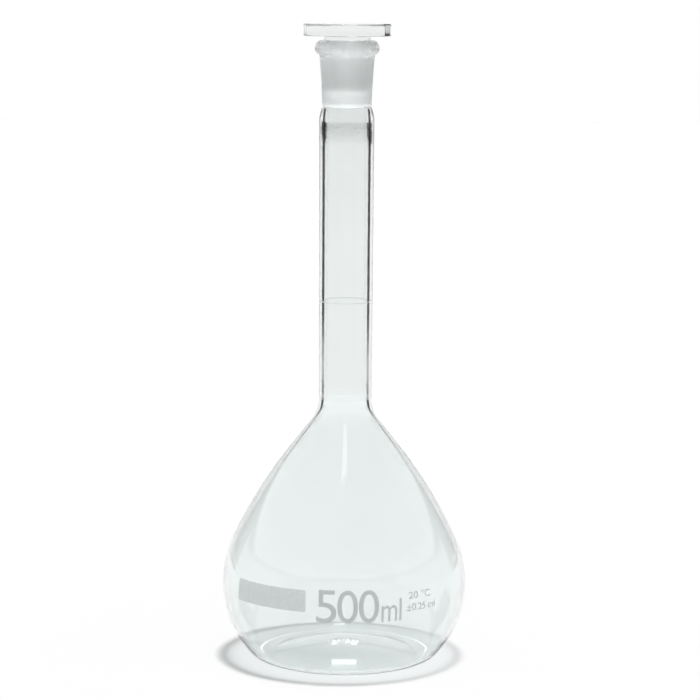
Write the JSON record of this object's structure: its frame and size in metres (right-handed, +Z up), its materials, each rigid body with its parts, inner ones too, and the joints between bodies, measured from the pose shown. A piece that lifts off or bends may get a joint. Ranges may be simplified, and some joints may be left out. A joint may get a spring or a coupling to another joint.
{
  "type": "volumetric flask",
  "caption": "Pear-shaped glass volumetric flask with a long ring-marked neck, ground socket and lift-out octagonal glass stopper.",
  "frame": {"origin": "middle of the foot, on the surface that the flask stands on", "axes": "+Z up along the neck, -Y towards the printed side, +X to the right of the printed side"},
  "size_m": [0.1022, 0.1024, 0.2653],
  "materials": {
    "clear_glass": "polished clear borosilicate glass",
    "ground_glass": "finely ground, frosted glass",
    "pressed_glass": "pressed clear glass with a faint green tint",
    "enamel": "fired white enamel print"
  },
  "bodies": {
    "flask": {"bulb": "clear_glass", "neck_tube": "clear_glass", "ground_socket": "ground_glass", "graduation_ring": "enamel", "writing_patch": "enamel", "digit_5": "enamel", "digit_0_left": "enamel", "digit_0_right": "enamel", "unit_m": "enamel", "unit_l": "enamel", "temperature_mark": "enamel", "tolerance_mark": "enamel"},
    "stopper": {"stopper_plug": "ground_glass", "stopper_head": "pressed_glass"}
  },
  "joints": [
    {"name": "stopper_lift", "type": "slide", "parent": "flask", "child": "stopper", "axis": [0, 0, 1], "range_m": [0, 0.05]}
  ]
}
